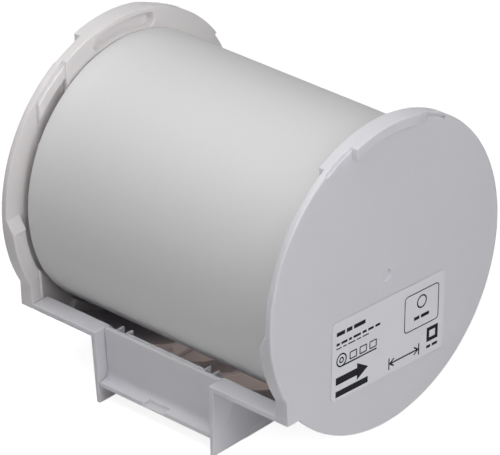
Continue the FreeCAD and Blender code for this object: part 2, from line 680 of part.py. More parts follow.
def grip_plate():
    """Plate with a lip along its base, set back between the foot's side walls."""
    face = "-" + GRIP_FACE
    back = "-" + GRIP_BACK
    lip = "(dim.grip_lip_inset - %s)" % BAR_FRONT
    lip_top = "(dim.grip_lip - %s)" % GRIP_BASE
    body = prism("GripProfile", "XY_Plane", [
        (face, "-" + BAR_DROP),
        (face, lip_top),
        (lip, lip_top),
        (lip, "-" + GRIP_BASE),
        (back, "-" + GRIP_BASE),
        (back, "-" + BAR_DROP),
    ], "2 * dim.foot_half_top")
    doc.recompute()
    pad = body.Tip
    hollow = pad.Shape.Edges
    corner_x = pad.evalExpression(face)
    corner_y = pad.evalExpression(lip_top)
    names = []
    for index, edge in enumerate(hollow, start=1):
        middle = edge.CenterOfMass
        if abs(middle.x - corner_x) < 1e-6 and abs(middle.y - corner_y) < 1e-6 and abs(middle.z) < 1e-6:
            names.append("Edge%d" % index)
    fillet = body.newObject("PartDesign::Fillet", "Grip_hollow")
    fillet.Base = (pad, names)
    bind(fillet, Radius="dim.grip_fillet")
    body.Tip = fillet
    inner_top = "(%s - dim.seat_gap)" % FOOT_ROOM
    lean = "((%s - %s + dim.foot_wall_base) / dim.bar_height)" % (FOOT_ROOM, FOOT_BASE)
    inner_low = "(%s - %s * (dim.bar_height - dim.grip_lift))" % (inner_top, lean)
    width = prism("Grip_width", "YZ_Plane", [
        ("-" + BAR_DROP, "-" + inner_top),
        ("-" + BAR_DROP, inner_top),
        ("-" + GRIP_BASE, inner_low),
        ("-" + GRIP_BASE, "-" + inner_low),
    ], "2 * " + FAR)
    notch = block(
        "Grip_notch",
        ("-" + FAR, lip + " + dim.notch_depth"),
        ("dim.notch_floor - " + GRIP_BASE, "0"),
        ("-dim.notch_width / 2", "dim.notch_width / 2"),
    )
    hooks = []
    for side, low, high in (
        ("left", "-" + HOOK_OUT, "-" + HOOK_IN),
        ("right", HOOK_IN, HOOK_OUT),
    ):
        along = ("-%s - %s" % (INTO, GRIP_BACK), "dim.hook_reach - " + GRIP_BACK)
        shelf_height = ("-" + HOOK_LOW, "dim.hook_thick - " + HOOK_LOW)
        hooks.append(block("Hook_" + side, along, shelf_height, (low, high)))
        rib_height = ("-" + HOOK_LOW, "-" + BAR_DROP)
        hooks.append(block("Hook_rib_low_" + side, along, rib_height, (low, low + " + dim.hook_rib")))
        hooks.append(block("Hook_rib_high_" + side, along, rib_height, (high + " - dim.hook_rib", high)))
    shaped = cut("Grip_shaped", common("Grip_blank", body, width), notch)
    return fuse("GripPlate", shaped, *hooks)


grip_plate_piece = go_home(grip_plate(), "grip_plate")


def label_sticker():
    """Thin label with round corners on the right end plate, tilted as it was stuck on."""
    sheet = block(
        "LabelSheet",
        ("-dim.label_length / 2", "dim.label_length / 2"),
        ("-dim.label_height / 2", "dim.label_height / 2"),
        ("0", "dim.label_thick"),
    )
    doc.recompute()
    rounded = doc.addObject("Part::Fillet", "LabelSticker")
    rounded.Base = sheet
    corner = dim.evalExpression("label_corner")
    upright = []
    for index, edge in enumerate(sheet.Shape.Edges, start=1):
        ends = edge.Vertexes
        if abs(ends[0].Z - ends[-1].Z) > 0.5 * edge.Length:
            upright.append((index, corner, corner))
    rounded.Edges = upright
    tilt = FreeCAD.Rotation(FreeCAD.Vector(0, 0, 1), -dim.evalExpression("label_tilt"))
    rounded.Placement = FreeCAD.Placement(FreeCAD.Vector(0, 0, 0), HOME_TURN.multiply(tilt))
    rounded.setExpression("Placement.Base.x", OUTER_FACE)
    rounded.setExpression("Placement.Base.z", AXIS + " - dim.label_drop")
    rounded.Label = "label_sticker"
    return rounded


label_piece = label_sticker()

PIECES = [
    left_end_plate,
    right_end_plate,
    lower_frame_piece,
    grip_plate_piece,
    left_drag_felt,
    right_drag_felt,
    label_piece,
    tape_roll,
    core_tube,
    left_core_hub,
    right_core_hub,
]

doc.recompute()
for thing in doc.Objects:
    if "Invalid" in thing.State or "Error" in thing.State:
        raise SystemExit("%s did not build: %s" % (thing.Name, thing.State))

os.makedirs("parts", exist_ok=True)
for piece in PIECES:
    shape = piece.Shape
    if shape.isNull() or not shape.isValid() or len(shape.Solids) != 1:
        raise SystemExit("%s is not one good solid" % piece.Label)
    shape.exportStep("parts/%s.step" % piece.Label)
    box = shape.BoundBox
    print("%-18s %9.1f mm3  X %7.2f %7.2f  Y %7.2f %7.2f  Z %7.2f %7.2f" % (
        piece.Label, shape.Volume, box.XMin, box.XMax, box.YMin, box.YMax, box.ZMin, box.ZMax))
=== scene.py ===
# %% [markdown]
# # A wide label tape cassette
# A roll of white label tape, 100 mm wide, turns between two round moulded end plates. A bar with a
# square foot joins the end plates at the front. Everything here is white on white, so the picture
# lives on soft shading, on small rounded edges and on slightly different whites.
#
# The engineering model is loaded first. It fixes every size and place, and the steps below only
# dress it: nothing in it is moved.

# %% Load the engineering model
import math

import bmesh
import bpy
from mathutils import Matrix, Vector
from mathutils.bvhtree import BVHTree


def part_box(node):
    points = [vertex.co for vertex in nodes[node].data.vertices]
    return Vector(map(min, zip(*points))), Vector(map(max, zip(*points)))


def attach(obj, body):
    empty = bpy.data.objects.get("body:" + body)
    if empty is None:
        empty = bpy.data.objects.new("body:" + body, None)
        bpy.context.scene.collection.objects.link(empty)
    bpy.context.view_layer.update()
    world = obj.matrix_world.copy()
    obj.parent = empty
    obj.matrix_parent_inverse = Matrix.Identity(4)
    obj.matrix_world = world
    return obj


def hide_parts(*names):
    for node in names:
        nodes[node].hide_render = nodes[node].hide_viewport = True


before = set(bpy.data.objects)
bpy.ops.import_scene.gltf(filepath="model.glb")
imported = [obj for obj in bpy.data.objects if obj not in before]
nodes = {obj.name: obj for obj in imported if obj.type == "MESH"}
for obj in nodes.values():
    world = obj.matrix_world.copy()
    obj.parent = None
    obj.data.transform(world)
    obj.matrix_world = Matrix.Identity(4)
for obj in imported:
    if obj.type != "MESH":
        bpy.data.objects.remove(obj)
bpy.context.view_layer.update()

MM = 0.001
roll_low, roll_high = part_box("tape_roll")
label_low, label_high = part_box("label_sticker")
axis_height = (roll_low.z + roll_high.z) / 2
roll_radius = (roll_high.z - roll_low.z) / 2
print("axis height %.2f mm, roll radius %.2f mm" % (axis_height / MM, roll_radius / MM))

# %% [markdown]
# ## The camera
# The photograph was taken from far away with a long lens, a little above the object and turned
# 44 degrees to the right. The whole view is also rolled by 2 degrees. A Track To constraint would
# aim a camera with less work, but it always keeps the camera level. So the camera's three axes are
# worked out here and put straight into its matrix. The aim is a point just under the middle of the
# roll, and the distance and the lens together give the object's size in the frame.

# %% Camera
VIEW_AZIMUTH = math.radians(43.978)
VIEW_ELEVATION = math.radians(29.461)
VIEW_ROLL = math.radians(-1.989)
VIEW_DISTANCE = 1363.9 * MM
VIEW_LENS = 331.2
AIM_RIGHT = 0.146 * MM
AIM_UP = -3.526 * MM
CLIP_START = 0.05
CLIP_END = 20


def make_camera():
    azimuth, elevation = VIEW_AZIMUTH, VIEW_ELEVATION
    back = Vector((
        math.sin(azimuth) * math.cos(elevation),
        -math.cos(azimuth) * math.cos(elevation),
        math.sin(elevation),
    ))
    level_right = Vector((0, 0, 1)).cross(back).normalized()
    level_up = back.cross(level_right)
    right = math.cos(VIEW_ROLL) * level_right + math.sin(VIEW_ROLL) * level_up
    up = back.cross(right)
    aim = Vector((0, 0, axis_height)) + AIM_RIGHT * right + AIM_UP * up
    camera = bpy.data.objects.new("camera", bpy.data.cameras.new("camera"))
    bpy.context.scene.collection.objects.link(camera)
    turn = Matrix((right, up, back)).transposed().to_4x4()
    camera.matrix_world = Matrix.Translation(aim + back * VIEW_DISTANCE) @ turn
    camera.data.lens = VIEW_LENS
    camera.data.clip_start = CLIP_START
    camera.data.clip_end = CLIP_END
    bpy.context.scene.camera = camera
    return camera


camera = make_camera()
print("camera at", [round(value, 4) for value in camera.matrix_world.translation])

# %% [markdown]
# ## Writing materials as sums
# A material is a small network of nodes, and most of its nodes only add or multiply numbers. Wiring
# those one by one hides what is worked out. So a Wire stands for one output socket, and Python's own
# operators on it add the Math nodes: 1 - mask is then a Subtract node. Every other node comes from
# one method, which takes the node's settings first, because some of them change which sockets the
# node has.

# %% A socket with operators


class Wire:
    """An output socket. Arithmetic on it adds Math nodes."""

    def __init__(self, tree, socket):
        self.tree = tree
        self.socket = socket

    def node(self, kind, settings=None, inputs=None, output=0):
        """Add a node: its settings, then the values or links of its sockets."""
        node = self.tree.nodes.new(kind)
        for name, value in (settings or {}).items():
            setattr(node, name, value)
        for name, value in (inputs or {}).items():
            if isinstance(value, Wire):
                self.tree.links.new(value.socket, node.inputs[name])
            else:
                node.inputs[name].default_value = value
        return Wire(self.tree, node.outputs[output])

    def math(self, operation, first, second=0.0):
        return self.node("ShaderNodeMath", {"operation": operation}, {0: first, 1: second})

    def __add__(self, other):
        return self.math("ADD", self, other)

    def __sub__(self, other):
        return self.math("SUBTRACT", self, other)

    def __rsub__(self, other):
        return self.math("SUBTRACT", other, self)

    def __mul__(self, other):
        return self.math("MULTIPLY", self, other)

    def __lt__(self, other):
        return self.math("LESS_THAN", self, other)

    def __abs__(self):
        return self.math("ABSOLUTE", self)

    __radd__ = __add__
    __rmul__ = __mul__

    def feed(self, socket):
        self.tree.links.new(self.socket, socket)


# %% [markdown]
# ## Patterns
# No surface here carries an image. Every pattern is noise that is read at a point in space, in the
# object's own coordinates, so it has no seam and doesn't slide when the view or the pose changes.
# Three things are made with it: clouds of two tones, a relief for the bump, and, on the tape,
# streaks and rings, for which the coordinates are stretched or swapped for the distance from the axis.

# %% Patterns that several materials share


def stretched(place, x, y, z):
    """The same coordinates, stretched along each axis."""
    return place.node("ShaderNodeVectorMath", {"operation": "MULTIPLY"}, {0: place, 1: (x, y, z)})


def noise(place, size, detail=2.0, roughness=0.5):
    """Cloudy values round a half whose clouds are about size metres across."""
    inputs = {"Vector": place, "Scale": 1 / size, "Detail": detail, "Roughness": roughness}
    return place.node("ShaderNodeTexNoise", inputs=inputs)


def blend(factor, first, second):
    """A colour between two."""
    inputs = {"Factor": factor, 6: first, 7: second}
    return factor.node("ShaderNodeMix", {"data_type": "RGBA"}, inputs, output=2)


def bump(height, depth):
    """A normal bent by a relief that is depth metres high."""
    return height.node("ShaderNodeBump", inputs={"Height": height, "Distance": depth, "Strength": 1.0})


def axis_distance(place):
    """The distance from the roll's axis, in metres."""
    inputs = {0: place, 1: (0, 0, axis_height)}
    centred = place.node("ShaderNodeVectorMath", {"operation": "SUBTRACT"}, inputs)
    flat = stretched(centred, 0, 1, 1)
    return flat.node("ShaderNodeVectorMath", {"operation": "LENGTH"}, {0: flat}, output="Value")


def new_material(name, **constants):
    """A material, its shader and its Object coordinates. The constants go on the shader's sockets."""
    material = bpy.data.materials.new(name)
    material.use_nodes = True
    tree = material.node_tree
    shader = tree.nodes["Principled BSDF"]
    for key, value in constants.items():
        shader.inputs[key.replace("_", " ")].default_value = value
    place = Wire(tree, tree.nodes.new("ShaderNodeTexCoord").outputs["Object"])
    return material, shader, place


# %% [markdown]
# ## Moulded plastic
# The end plates, the frame and the hubs are injection moulded in a white plastic. A fine spark-eroded
# grain in the mould makes them satin: the grain is far smaller than a pixel, so it shows mostly as a
# soft gloss, and close up as a faint mottle. The plastic also varies a little in tone where the melt
# flowed. White plastic is never quite opaque: light goes about a millimetre into it, which softens
# the shading in small hollows and lets thin walls glow. A mere brighter colour would lift the
# hollows and the flat faces alike, so the Principled shader's subsurface part does it instead. One
# function makes all the plastics, with its own tone and grain for each moulding. The left end plate
# is a slightly warmer white than the right one, as in the photograph.

# %% Plastic materials
GRAIN_SIZE = 0.35 * MM
GRAIN_DEPTH = 0.006 * MM
FLOW_SIZE = 22 * MM
MOTTLE_SIZE = 1.6 * MM
LIGHT_DEPTH = (1.1, 1.03, 1.0)


def plastic(name, tone, gloss_roughness, grain=1.0):
    constants = {"Subsurface_Weight": 1.0, "Subsurface_Radius": LIGHT_DEPTH, "Subsurface_Scale": MM}
    material, shader, place = new_material(name, Specular_IOR_Level=0.42, **constants)
    flow = noise(place, FLOW_SIZE, detail=1.0)
    mottle = noise(place, MOTTLE_SIZE, detail=3.0)
    shade = tuple(value * 0.975 for value in tone) + (1,)
    light = tuple(min(1, value * 1.02) for value in tone) + (1,)
    blend(flow * 0.7 + mottle * 0.3, shade, light).feed(shader.inputs["Base Color"])
    (gloss_roughness - 0.05 + mottle * 0.1).feed(shader.inputs["Roughness"])
    bump(noise(place, GRAIN_SIZE, detail=2.0), GRAIN_DEPTH * grain).feed(shader.inputs["Normal"])
    return material


COOL_WHITE = (0.800, 0.794, 0.835)
WARM_WHITE = (0.840, 0.815, 0.820)
FRAME_WHITE = (0.780, 0.775, 0.812)
HUB_GREY = (0.62, 0.63, 0.65)
plate_plastic = plastic("white_plate", COOL_WHITE, 0.46)
warm_plastic = plastic("warm_white_plate", WARM_WHITE, 0.46)
frame_plastic = plastic("white_frame", FRAME_WHITE, 0.48)
hub_plastic = plastic("grey_hub", HUB_GREY, 0.40, grain=0.6)
print("plastics:", plate_plastic.name, warm_plastic.name, frame_plastic.name, hub_plastic.name)

# %% [markdown]
# ## Tape, card and felt
# The tape is a coated white film on a backing. Round the roll its gloss is even, with very fine
# streaks that run along the tape, as slitting and coating leave them. On the roll's two ends the
# edges of some hundred turns show as fine rings. Both patterns are noise: for the streaks it is
# stretched round the roll, and for the rings it depends on nothing but the distance from the axis.
# Real rings could be modelled, but they are a seventh of a millimetre wide and would cost many
# thousands of faces that hardly show behind the end plates.

# %% Tape material
STREAK_WIDTH = 0.9 * MM
STREAK_STRETCH = 0.02
TURN_THICKNESS = 0.15 * MM
END_START = roll_high.x - 0.06 * MM
FACE_DARK = (0.795, 0.795, 0.797, 1)
FACE_LIGHT = (0.81, 0.81, 0.81, 1)
TURN_DARK = (0.60, 0.59, 0.57, 1)
TURN_LIGHT = (0.80, 0.795, 0.78, 1)
RING_RELIEF = 0.02 * MM


def tape_material():
    material, shader, place = new_material("tape_film", Specular_IOR_Level=0.15)
    across = place.node("ShaderNodeSeparateXYZ", inputs={0: place})
    radius = axis_distance(place)
    rings = radius.node("ShaderNodeCombineXYZ", inputs={0: radius * (1 / TURN_THICKNESS)})
    turns = noise(rings, 1.0, detail=1.0)
    at_end = 1 - (abs(across) < END_START)
    streaks = noise(stretched(place, 1, STREAK_STRETCH, STREAK_STRETCH), STREAK_WIDTH, detail=2.0)
    face = blend(streaks, FACE_DARK, FACE_LIGHT)
    edges = blend(turns, TURN_DARK, TURN_LIGHT)
    blend(at_end, face, edges).feed(shader.inputs["Base Color"])
    (0.5 + streaks * 0.05 + at_end * 0.2).feed(shader.inputs["Roughness"])
    relief = streaks * 0.15 + turns * at_end
    bump(relief, RING_RELIEF).feed(shader.inputs["Normal"])
    return material


tape_film = tape_material()
print("tape:", tape_film.name)

# %% [markdown]
# The card of the core tube and the felt of the drag rings are both short fibres. In card they are
# pressed flat and wound along the tube, in felt they lie every way. One function makes both: fine
# noise for the fibres, coarser noise for the cloudiness between them, and a stretch for their way.

# %% Card and felt materials
CARD_FIBRE = 0.5 * MM
CARD_RELIEF = 0.05 * MM
CARD_BROWN = (0.36, 0.27, 0.18, 1)
CARD_TAN = (0.56, 0.45, 0.33, 1)
ALONG_TUBE = (0.25, 1, 1)
FELT_FIBRE = 0.25 * MM
FELT_RELIEF = 0.15 * MM
FELT_DARK = (0.10, 0.10, 0.11, 1)
FELT_LIGHT = (0.24, 0.24, 0.25, 1)


def fibre_material(name, dark, light, fibre_size, depth, stretch=(1, 1, 1)):
    """A rough surface of short fibres: two layers of noise, one of them stretched."""
    material, shader, place = new_material(name, Specular_IOR_Level=0.2)
    fibres = noise(stretched(place, *stretch), fibre_size, detail=4.0, roughness=0.7)
    cloud = noise(place, 12 * fibre_size)
    blend(fibres * 0.7 + cloud * 0.3, dark, light).feed(shader.inputs["Base Color"])
    (0.82 + fibres * 0.15).feed(shader.inputs["Roughness"])
    bump(fibres, depth).feed(shader.inputs["Normal"])
    return material


core_card = fibre_material("core_card", CARD_BROWN, CARD_TAN, CARD_FIBRE, CARD_RELIEF, ALONG_TUBE)
drag_felt = fibre_material("grey_felt", FELT_DARK, FELT_LIGHT, FELT_FIBRE, FELT_RELIEF)
print("fibres:", core_card.name, drag_felt.name)

# %% [markdown]
# ## Label film and ink
# The label on the right end plate is a thin white film, a touch brighter and glossier than the
# plastic under it, and not perfectly flat, which a very low, wide relief gives. The ink is a matt
# black, which in a photograph is never darker than a deep grey. Ink could be a mask in the film's
# material, but its edges would then be only as sharp as a baked image of it. So it is a very
# thin layer of its own, and it takes its own material from the same function.

# %% Label materials
CLOUD_SIZE = 6 * MM
RIPPLE_SIZE = 2.5 * MM


def film_material(name, tone, roughness, ripple, gloss=0.45):
    material, shader, place = new_material(name, Specular_IOR_Level=gloss)
    cloud = noise(place, CLOUD_SIZE)
    shade = tuple(value * 0.985 for value in tone) + (1,)
    blend(cloud, shade, tone + (1,)).feed(shader.inputs["Base Color"])
    (roughness + cloud * 0.06).feed(shader.inputs["Roughness"])
    bump(noise(place, RIPPLE_SIZE), ripple).feed(shader.inputs["Normal"])
    return material


FILM_WHITE = (0.84, 0.835, 0.88)
INK_BLACK = (0.012, 0.012, 0.015)
label_film = film_material("white_film", FILM_WHITE, 0.34, 0.01 * MM)
label_ink = film_material("dark_ink", INK_BLACK, 0.6, 0.004 * MM, gloss=0.08)
print("label:", label_film.name, label_ink.name)

# %% [markdown]
# ## From a CAD solid to a moulding
# The engineering model has knife-sharp edges, and its curves are flat facets. A real moulding has
# small radii on every edge, and each of them catches a thin line of light. So each visible moulding
# is copied, its loose triangles are merged, and every outer edge sharper than 31 degrees is bevelled
# in two steps, where the faces beside it are wide enough. A bevel needs simple faces, so the large
# ones with many corners are cut into triangles first. The few slivers that it still folds over are
# collapsed. Weighted normals then keep the flat faces flat and let the curved ones run smoothly. The
# copy stands for its CAD node, which stays as it is.
#
# A Bevel modifier would be less work, but it would also bevel the thin ribs and narrow steps that
# have no room for it, and it would fold their faces over.

# %% Merge a node's loose triangles into whole faces
FLAT_ANGLE = math.radians(0.4)
SAME_POINT = 0.003 * MM
SHORTEST_EDGE = 0.12 * MM


def merged_copy(node, shortest=SHORTEST_EDGE):
    """A bmesh of a CAD node: triangles joined into whole flat faces, and no edge too short to bevel."""
    bm = bmesh.new()
    bm.from_mesh(nodes[node].data)
    bmesh.ops.remove_doubles(bm, verts=bm.verts, dist=SAME_POINT)
    bmesh.ops.dissolve_limit(bm, angle_limit=FLAT_ANGLE, verts=bm.verts, edges=bm.edges)
    bmesh.ops.remove_doubles(bm, verts=bm.verts, dist=shortest)
    bmesh.ops.dissolve_limit(bm, angle_limit=FLAT_ANGLE, verts=bm.verts, edges=bm.edges)
    return bm


# %% [markdown]
# Both end plates have a small dimple in the middle of the outer face, where the plastic was let into
# the mould. Its floor lies deeper than the engineering model has it, so the floor's points are
# pushed in a little further. They are found by where they are: close to the axis and under the face.

# %% Deepen the dimple
DIMPLE_REACH = 2.0 * MM
DIMPLE_DEEPER = 0.6 * MM


def deepen_dimple(bm):
    """Push in the floor of the small dimple in the middle of an end plate's outer face."""
    near_axis = [vert for vert in bm.verts if math.hypot(vert.co.y, vert.co.z - axis_height) < DIMPLE_REACH]
    outer = max(abs(vert.co.x) for vert in near_axis)
    for vert in near_axis:
        depth = outer - abs(vert.co.x)
        if SAME_POINT < depth < DIMPLE_REACH / 2:
            vert.co.x -= math.copysign(DIMPLE_DEEPER, vert.co.x)


# %% Find the sharp outer edges and round them
EDGE_RADIUS = 0.22 * MM
SHARP_ANGLE = math.radians(31)
ROOM_IN_RADII = 2.2
BEVEL_STEPS = 2


def has_room(edge, radius):
    """True where both faces beside an edge are wider than two bevels."""
    start = edge.verts[0].co
    along = (edge.verts[1].co - start).normalized()
    for face in edge.link_faces:
        reach = max((vert.co - start).cross(along).length for vert in face.verts)
        if reach < ROOM_IN_RADII * radius:
            return False
    return True


def sharp_edges(bm, radius):
    found = []
    for edge in bm.edges:
        if edge.is_convex and edge.calc_face_angle() > SHARP_ANGLE and has_room(edge, radius):
            found.append(edge)
    return found


def round_edges(bm, edges, radius):
    many_sided = [face for face in bm.faces if len(face.verts) > 4]
    bmesh.ops.triangulate(bm, faces=many_sided, quad_method="BEAUTY", ngon_method="BEAUTY")
    bmesh.ops.bevel(
        bm,
        geom=edges,
        offset=radius,
        offset_type="OFFSET",
        affect="EDGES",
        segments=BEVEL_STEPS,
        profile=0.5,
        material=-1,
        clamp_overlap=False,
        loop_slide=False,
    )


# %% Collapse what a bevel folded over
FOLDED = -0.2
UNFOLD_ATTEMPTS = 5


def unfold(bm, node):
    """Collapse the slivers that the bevel turned inside out."""
    source = bmesh.new()
    source.from_mesh(nodes[node].data)
    surface = BVHTree.FromBMesh(source)
    source.free()
    collapsed = 0
    for attempt in range(UNFOLD_ATTEMPTS):
        bm.normal_update()
        short = set()
        for face in bm.faces:
            normal = surface.find_nearest(face.calc_center_median())[1]
            if normal.dot(face.normal) < FOLDED:
                short.add(min(face.edges, key=lambda edge: edge.calc_length()))
        if not short:
            break
        collapsed += len(short)
        bmesh.ops.collapse(bm, edges=list(short))
        bmesh.ops.dissolve_degenerate(bm, dist=SAME_POINT, edges=bm.edges)
    return collapsed


# %% Turn a bmesh into a piece of the model


def add_piece(name, bm, material, body, replaced=()):
    """Make an object of a bmesh, give it its material, and let it ride on its body."""
    open_edges = sum(1 for edge in bm.edges if len(edge.link_faces) != 2)
    mesh = bpy.data.meshes.new(name)
    bm.to_mesh(mesh)
    bm.free()
    mesh.shade_smooth()
    mesh.materials.append(material)
    piece = bpy.data.objects.new(name, mesh)
    bpy.context.scene.collection.objects.link(piece)
    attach(piece, body)
    if replaced:
        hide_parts(*replaced)
    print("%s: %d faces, %d open edges" % (name, len(mesh.polygons), open_edges))
    return piece


def keep_flats(piece):
    """Weight each vertex normal by the area of its faces."""
    modifier = piece.modifiers.new("flat_faces", "WEIGHTED_NORMAL")
    modifier.mode = "FACE_AREA"
    modifier.weight = 50
    modifier.keep_sharp = False
    return piece


# %% The four mouldings
FRAME_SHORTEST = 0.21 * MM


def moulding(node, material, shortest=SHORTEST_EDGE):
    bm = merged_copy(node, shortest)
    if node.endswith("end_plate"):
        deepen_dimple(bm)
    round_edges(bm, sharp_edges(bm, EDGE_RADIUS), EDGE_RADIUS)
    print("%s: %d slivers collapsed" % (node, unfold(bm, node)))
    piece = add_piece(node + "_moulding", bm, material, "frame", [node])
    return keep_flats(piece)


left_plate = moulding("left_end_plate", warm_plastic)
right_plate = moulding("right_end_plate", plate_plastic)
lower_frame = moulding("lower_frame", frame_plastic, FRAME_SHORTEST)
grip_plate = moulding("grip_plate", frame_plastic)

# %% [markdown]
# ## The wound tape
# A spin turns one outline of the roll round its axis. Real tape is a spiral, so its outside is not
# quite round: it shrinks by one thickness over the last turn, and where that turn ends there is a
# small step across the whole width. The spin is left open, its outer points are drawn in bit by bit,
# and the slit that remains at the step is filled. The end lies low at the rear, out of the camera's
# sight.

# %% Spin the roll and draw it in to a spiral
ROLL_STEPS = 240
ROLL_EDGE = 0.35 * MM
LAYER = 0.9 * MM
TAPE_END = math.radians(-18)
core_low, core_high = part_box("core_tube")
core_radius = (core_high.z - core_low.z) / 2


def roll_outline(bm):
    """One closed outline in the half plane that stands at the tape's end."""
    half = roll_high.x
    outer = [(-half, roll_radius - LAYER), (-half, roll_radius - ROLL_EDGE), (ROLL_EDGE - half, roll_radius)]
    mirrored = [(-x, radius) for x, radius in reversed(outer)]
    corners = [(-half, core_radius)] + outer + mirrored + [(half, core_radius)]
    verts = []
    for x, radius in corners:
        side, up = radius * math.cos(TAPE_END), radius * math.sin(TAPE_END)
        verts.append(bm.verts.new((x, side, axis_height + up)))
    edges = [bm.edges.new((verts[index - 1], verts[index])) for index in range(len(verts))]
    return verts, edges


def wound_roll():
    bm = bmesh.new()
    verts, edges = roll_outline(bm)
    spun = bmesh.ops.spin(
        bm,
        geom=verts + edges,
        cent=(0, 0, axis_height),
        axis=(1, 0, 0),
        angle=math.tau,
        steps=ROLL_STEPS,
        use_merge=False,
    )
    last = {item for item in spun["geom_last"] if isinstance(item, bmesh.types.BMVert)}
    first = set(verts)
    for vert in bm.verts:
        across, up = vert.co.y, vert.co.z - axis_height
        radius = math.hypot(across, up)
        if radius < roll_radius - LAYER + ROLL_EDGE / 2:
            continue
        turn = (math.atan2(up, across) - TAPE_END) % math.tau / math.tau
        if vert in first:
            turn = 0
        elif vert in last:
            turn = 1
        shrink = 1 - TURN_THICKNESS * turn / radius
        vert.co.y = across * shrink
        vert.co.z = axis_height + up * shrink
    bmesh.ops.remove_doubles(bm, verts=bm.verts, dist=SAME_POINT)
    slit = [edge for edge in bm.edges if len(edge.link_faces) == 1]
    bmesh.ops.holes_fill(bm, edges=slit, sides=0)
    bmesh.ops.recalc_face_normals(bm, faces=bm.faces)
    return bm


tape_roll = add_piece("wound_tape", wound_roll(), tape_film, "reel", ["tape_roll"])
keep_flats(tape_roll)

# %% [markdown]
# ## The printed label
# The label keeps its CAD outline and gets a soft edge. The print on it is generic: rows of short
# bars where small text would be, a plain pictogram of a roll with labels on its tape, a feed arrow,
# a dimension arrow, a framed spot and a framed square. Nothing on it can be read. All marks are
# drawn flat in millimetres from the label's middle, in one mesh. At the end they get a real, very
# small thickness and are laid on the tilted label, so that they stay sharp from near and are real
# geometry.

# %% The label's own plane
LABEL_TILT = math.radians(3.5)
INK_HEIGHT = 0.015 * MM
LABEL_EDGE = 0.04 * MM
PRINT_SHIFT = 0.8 * MM
label_centre = Vector((label_high.x, (label_low.y + label_high.y) / 2, (label_low.z + label_high.z) / 2))
label_along = Vector((0, math.cos(LABEL_TILT), -math.sin(LABEL_TILT)))
label_up = Vector((0, math.sin(LABEL_TILT), math.cos(LABEL_TILT)))
label_out = Vector((1, 0, 0))
label_turn = Matrix((label_along, label_up, label_out)).transposed().to_4x4()
label_place = Matrix.Translation(label_centre - PRINT_SHIFT * label_along) @ label_turn
print("label middle at", [round(value / MM, 2) for value in label_centre], "mm")

# %% The label's sheet
label_bm = merged_copy("label_sticker", SAME_POINT)
top_rim = []
for edge in sharp_edges(label_bm, LABEL_EDGE):
    middle = (edge.verts[0].co.x + edge.verts[1].co.x) / 2
    if middle > label_high.x - LABEL_EDGE / 2:
        top_rim.append(edge)
round_edges(label_bm, top_rim, LABEL_EDGE)
label_sheet = add_piece("label_sheet", label_bm, label_film, "frame", ["label_sticker"])
keep_flats(label_sheet)


# %% Helpers that draw marks
LINE = 0.5


def mark(bm, u, v, width, height, corner=0.0, turn=0.0):
    """A filled rectangle round u, v in millimetres on the label, with rounded corners if asked."""
    place = Matrix.Translation((u * MM, v * MM, 0)) @ Matrix.Rotation(turn, 4, "Z")
    place = place @ Matrix.Diagonal((width * MM, height * MM, 1, 1))
    made = bmesh.ops.create_grid(bm, x_segments=1, y_segments=1, size=0.5, matrix=place)
    face = made["verts"][0].link_faces[0]
    if corner:
        rounded = bmesh.ops.bevel(
            bm,
            geom=made["verts"],
            offset=corner * MM,
            affect="VERTICES",
            segments=4,
            profile=0.5,
            material=-1,
        )
        face = max(rounded["verts"][0].link_faces, key=lambda item: item.calc_area())
    return face


def hollow(bm, face, line):
    """Turn a filled mark into a line of that width, in millimetres."""
    bmesh.ops.inset_region(bm, faces=[face], thickness=line * MM, use_even_offset=True, use_boundary=True)
    bmesh.ops.delete(bm, geom=[face], context="FACES")


def ring(bm, u, v, outer, inner):
    """A round line between two radii in millimetres."""
    place = Matrix.Translation((u * MM, v * MM, 0))
    made = bmesh.ops.create_circle(bm, cap_ends=True, segments=40, radius=outer * MM, matrix=place)
    hollow(bm, made["verts"][0].link_faces[0], outer - inner)


# %% Rows of small print
# Where each row starts, how high it lies, how tall its bars are, and how long each bar is.
SMALL_PRINT = [
    (-22.0, 8.9, 1.3, [3.6, 2.4, 5.0]),
    (-22.0, 5.6, 0.8, [1.4, 2.6, 1.2, 3.2, 1.8, 2.4, 2.1]),
    (-22.0, 4.2, 0.4, [2.2, 1.5, 3.0, 1.8, 2.6]),
    (12.0, 1.1, 1.1, [2.4, 3.6]),
    (17.9, -10.4, 0.9, [1.8, 2.4]),
]
WORD_GAP = 0.7
print_bm = bmesh.new()
for start, height_up, tall, words in SMALL_PRINT:
    for word in words:
        mark(print_bm, start + word / 2, height_up, word, tall)
        start += word + WORD_GAP
print("small print:", len(print_bm.faces), "bars")

# %% A roll with three labels on its tape
ROLL_MARK = -19.7
LABEL_MARKS = (-14.6, -10.3, -6.0)
ring(print_bm, ROLL_MARK, 0.0, 2.25, 1.75)
ring(print_bm, ROLL_MARK, 0.0, 1.0, 0.55)
mark(print_bm, -12.0, -2.0, 15.2, LINE)
for place_along in LABEL_MARKS:
    hollow(print_bm, mark(print_bm, place_along, 0.0, 3.2, 2.6, corner=0.4), 0.4)
print("roll mark with", len(LABEL_MARKS), "labels")

# %% A feed arrow over a bar
FEED_HEIGHT = -6.5
mark(print_bm, -17.3, FEED_HEIGHT, 9.4, 2.4)
head_place = Matrix.Translation((-11.2 * MM, FEED_HEIGHT * MM, 0)) @ Matrix.Rotation(-math.pi / 2, 4, "Z")
bmesh.ops.create_circle(print_bm, cap_ends=True, segments=3, radius=3.2 * MM, matrix=head_place)
mark(print_bm, -15.0, -10.8, 14.0, 2.0)
print("feed arrow at", FEED_HEIGHT, "mm")

